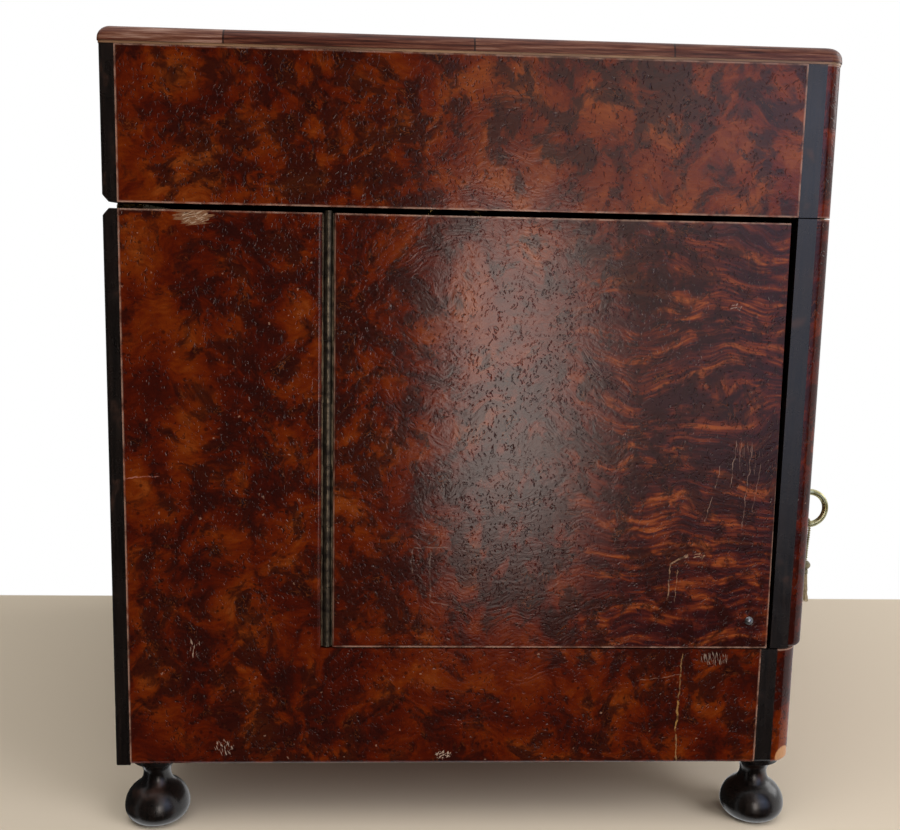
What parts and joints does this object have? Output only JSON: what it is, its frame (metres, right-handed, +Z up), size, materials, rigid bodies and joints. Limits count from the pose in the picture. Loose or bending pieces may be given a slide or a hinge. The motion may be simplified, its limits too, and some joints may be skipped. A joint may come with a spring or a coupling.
{
  "type": "tantalus",
  "caption": "Veneered liqueur chest on turned feet: back-hinged lid with a folding front panel, side doors, key with tassel, and a lift-out rack of decanters and glasses.",
  "frame": {"origin": "on the table, under the middle of the case, between the four feet", "axes": "+Z up; the front with the key faces -Y; +X is to the right of someone who faces the front"},
  "size_m": [0.272, 0.3076, 0.2792],
  "materials": {
    "burl_veneer": "French-polished burl veneer, glossy",
    "ebony": "polished ebony and ebonised wood",
    "crossband": "polished cross-banded veneer",
    "boxwood": "polished boxwood stringing",
    "carcase_wood": "oiled carcase wood, satin",
    "rack_wood": "waxed rosewood, satin",
    "brass": "polished brass, lightly worn",
    "dark_brass": "tarnished brass",
    "lock_steel": "filed steel",
    "crystal": "cut and polished glass",
    "silk": "twisted silk"
  },
  "bodies": {
    "case": {"floor_board": "carcase_wood", "left_side": "burl_veneer", "right_side": "burl_veneer", "back_panel": "burl_veneer", "plinth_front": "burl_veneer", "plinth_corner_strips": "ebony", "back_corner_strips": "ebony", "door_stops": "carcase_wood", "strike_plate": "brass", "feet": "ebony", "lid_hinge_lower_leaves": "brass", "lid_hinge_pins": "brass", "left_door_case_leaf": "dark_brass", "right_door_case_leaf": "dark_brass", "door_hinge_pins": "dark_brass"},
    "lid": {"lid_front_rail": "burl_veneer", "lid_back_rail": "burl_veneer", "lid_left_rail": "burl_veneer", "lid_right_rail": "burl_veneer", "lid_corner_strips": "ebony", "lid_stringing": "boxwood", "lid_crossband": "crossband", "lid_panel": "burl_veneer", "lid_hinge_upper_leaves": "brass", "panel_hinge_upper_leaves": "brass"},
    "front": {"front_panel": "burl_veneer", "front_corner_posts": "ebony", "escutcheon": "brass", "lock_case": "brass", "lock_cap": "brass", "panel_hinge_lower_leaves": "brass", "panel_hinge_pins": "brass"},
    "bolt": {"lock_bolt": "lock_steel"},
    "key": {"key": "brass"},
    "tassel": {"tassel_cord": "silk", "tassel_head": "silk", "tassel_skirt": "silk"},
    "left_door": {"left_door": "burl_veneer", "left_door_pin": "lock_steel", "left_door_leaf": "dark_brass"},
    "right_door": {"right_door": "burl_veneer", "right_door_pin": "lock_steel", "right_door_leaf": "dark_brass"},
    "rack": {"rack_base": "rack_wood", "rack_columns": "brass", "glass_shelves": "rack_wood", "glass_galleries": "brass", "decanter_frame": "rack_wood", "rack_handle": "brass", "glasses_left": "crystal", "glasses_right": "crystal"},
    "decanter_front_left": {"decanter_front_left": "crystal"},
    "stopper_front_left": {"stopper_front_left": "crystal"},
    "decanter_front_right": {"decanter_front_right": "crystal"},
    "stopper_front_right": {"stopper_front_right": "crystal"},
    "decanter_back_left": {"decanter_back_left": "crystal"},
    "stopper_back_left": {"stopper_back_left": "crystal"},
    "decanter_back_right": {"decanter_back_right": "crystal"},
    "stopper_back_right": {"stopper_back_right": "crystal"}
  },
  "joints": [
    {"name": "lid_hinge", "type": "hinge", "parent": "case", "child": "lid", "pos_m": [0, 0.12005, 0.2219], "axis": [-1, 0, 0], "range_deg": [0, 95]},
    {"name": "front_panel_hinge", "type": "hinge", "parent": "lid", "child": "front", "pos_m": [0, -0.12325, 0.2227], "axis": [-1, 0, 0], "range_deg": [0, 170]},
    {"name": "left_door_hinge", "type": "hinge", "parent": "case", "child": "left_door", "pos_m": [-0.1335, 0.04895, 0.0694], "axis": [0, 0, -1], "range_deg": [0, 105]},
    {"name": "right_door_hinge", "type": "hinge", "parent": "case", "child": "right_door", "pos_m": [0.1335, 0.04895, 0.0694], "axis": [0, 0, 1], "range_deg": [0, 105]},
    {"name": "key_turn", "type": "hinge", "parent": "front", "child": "key", "pos_m": [0, -0.12325, 0.0901], "axis": [0, 1, 0], "range_deg": [0, 90]},
    {"name": "bolt_slide", "type": "slide", "parent": "front", "child": "bolt", "axis": [0, 0, -1], "range_m": [0, 0.008]},
    {"name": "tassel_swing", "type": "hinge", "parent": "key", "child": "tassel", "pos_m": [0, -0.17435, 0.0821], "axis": [0, 1, 0], "range_deg": [-90, 0]},
    {"name": "rack_lift", "type": "slide", "parent": "case", "child": "rack", "axis": [0, 0, 1], "range_m": [0, 0.03]},
    {"name": "decanter_front_left_lift", "type": "slide", "parent": "rack", "child": "decanter_front_left", "axis": [0, 0, 1], "range_m": [0, 0.03]},
    {"name": "stopper_front_left_lift", "type": "slide", "parent": "decanter_front_left", "child": "stopper_front_left", "axis": [0, 0, 1], "range_m": [0, 0.03]},
    {"name": "decanter_front_right_lift", "type": "slide", "parent": "rack", "child": "decanter_front_right", "axis": [0, 0, 1], "range_m": [0, 0.03]},
    {"name": "stopper_front_right_lift", "type": "slide", "parent": "decanter_front_right", "child": "stopper_front_right", "axis": [0, 0, 1], "range_m": [0, 0.03]},
    {"name": "decanter_back_left_lift", "type": "slide", "parent": "rack", "child": "decanter_back_left", "axis": [0, 0, 1], "range_m": [0, 0.03]},
    {"name": "stopper_back_left_lift", "type": "slide", "parent": "decanter_back_left", "child": "stopper_back_left", "axis": [0, 0, 1], "range_m": [0, 0.03]},
    {"name": "decanter_back_right_lift", "type": "slide", "parent": "rack", "child": "decanter_back_right", "axis": [0, 0, 1], "range_m": [0, 0.03]},
    {"name": "stopper_back_right_lift", "type": "slide", "parent": "decanter_back_right", "child": "stopper_back_right", "axis": [0, 0, 1], "range_m": [0, 0.03]}
  ],
  "couplings": [
    {"joint": "key_turn", "follows": "bolt_slide", "rad_per_m": 196.35},
    {"joint": "tassel_swing", "follows": "bolt_slide", "rad_per_m": -196.35}
  ]
}
